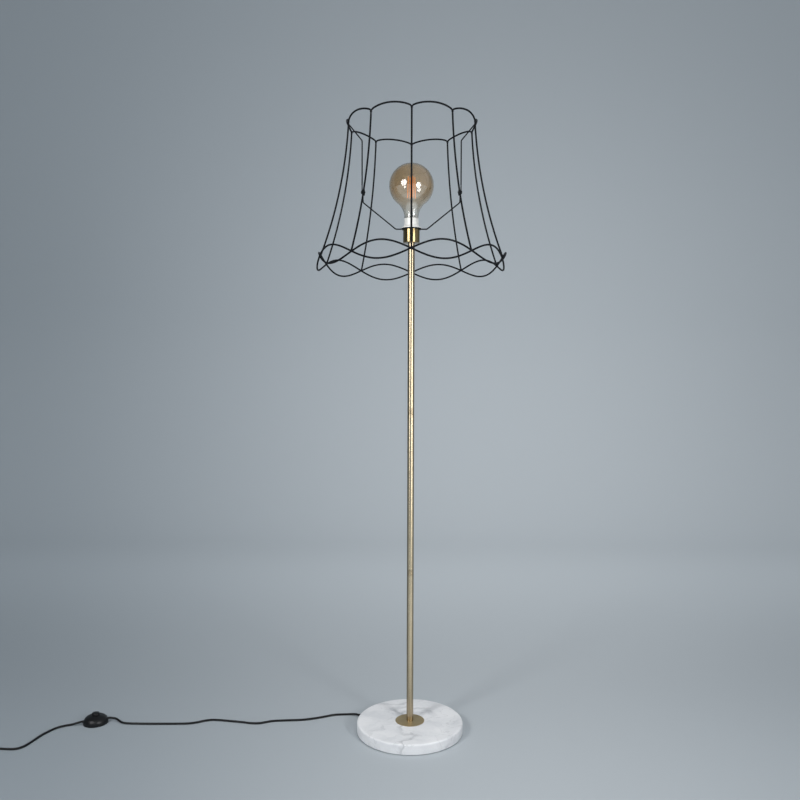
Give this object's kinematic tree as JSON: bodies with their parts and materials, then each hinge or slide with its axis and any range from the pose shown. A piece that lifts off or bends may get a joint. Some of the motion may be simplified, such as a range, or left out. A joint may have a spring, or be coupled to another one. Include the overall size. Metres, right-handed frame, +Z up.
{
  "type": "floor lamp",
  "caption": "Retro floor lamp: marble foot, brass pole, globe bulb, scalloped wire shade frame that tilts, and a cord with foot switch and plug.",
  "frame": {"origin": "on the floor, at the centre of the round foot", "axes": "+Z up along the pole, +Y towards the back, +X to the viewer's right; the tilt axis lies along X"},
  "size_m": [1.2948, 0.4382, 1.4268],
  "materials": {
    "marble": "polished white marble with soft grey veins",
    "felt": "dark felt",
    "plate_brass": "satin antique brass",
    "pole_brass": "polished antique brass",
    "turned_brass": "satin antique brass",
    "zinc_steel": "zinc-plated steel",
    "white_plastic": "glossy white plastic",
    "white_wire": "wire insulation",
    "amber_glass": "smoky amber glass",
    "clear_glass": "clear glass",
    "nickel_cap": "nickel-plated cap",
    "cap_insulator": "black cap insulator",
    "filament": "coated filament sticks",
    "black_wire": "satin black paint",
    "black_plastic": "glossy black plastic",
    "grey_plastic": "grey moulding",
    "black_cord": "black cord sheath",
    "black_rubber": "black moulded rubber",
    "pin_metal": "nickel-plated pins"
  },
  "bodies": {
    "stand": {"marble_base": "marble", "floor_pad": "felt", "base_plate": "plate_brass", "base_stud": "zinc_steel", "base_washer": "zinc_steel", "base_nut": "zinc_steel", "lower_tube": "pole_brass", "lower_joint_collar": "pole_brass", "middle_tube": "pole_brass", "upper_joint_collar": "pole_brass", "upper_tube": "pole_brass", "tube_bushes": "turned_brass", "pole_wires": "white_wire", "cup_nipple": "zinc_steel", "holder_cup": "turned_brass", "cup_nut": "zinc_steel", "holder_cap": "white_plastic", "holder_body": "white_plastic", "holder_thread": "zinc_steel", "holder_contact": "turned_brass", "shade_ring": "white_plastic", "carrier_ring": "black_wire", "carrier_arm_left": "black_wire", "carrier_arm_right": "black_wire", "pivot_screws": "black_wire", "pivot_nuts": "black_wire", "cord_relief": "black_rubber", "cord_to_switch": "black_cord", "switch_base": "black_plastic", "switch_cover": "black_plastic", "switch_contacts": "grey_plastic", "switch_screws": "zinc_steel", "cord_to_coil": "black_cord", "cord_coil": "black_cord", "cord_tie": "black_rubber", "plug_body": "black_rubber", "plug_pins": "pin_metal"},
    "bulb": {"bulb_glass": "amber_glass", "bulb_cap": "nickel_cap", "bulb_contact": "cap_insulator", "bulb_stem": "clear_glass", "bulb_filaments": "filament", "bulb_supports": "zinc_steel"},
    "shade": {"hanger_left": "black_wire", "hanger_right": "black_wire", "top_ring": "black_wire", "wave_inner": "black_wire", "wave_outer": "black_wire", "rib_1": "black_wire", "rib_2": "black_wire", "rib_3": "black_wire", "rib_4": "black_wire", "rib_5": "black_wire", "rib_6": "black_wire", "rib_7": "black_wire", "rib_8": "black_wire", "rib_9": "black_wire", "rib_10": "black_wire"},
    "switch_button": {"switch_button": "black_plastic"}
  },
  "joints": [
    {"name": "shade_tilt", "type": "hinge", "parent": "stand", "child": "shade", "pos_m": [0, 0, 1.265], "axis": [1, 0, 0], "range_deg": [-40, 40]},
    {"name": "bulb_lift", "type": "slide", "parent": "stand", "child": "bulb", "axis": [0, 0, 1], "range_m": [0, 0.03]},
    {"name": "button_press", "type": "slide", "parent": "stand", "child": "switch_button", "axis": [0, 0, -1], "range_m": [0, 0.003], "stiffness_N_per_m": 500, "springref_m": -0.001}
  ]
}
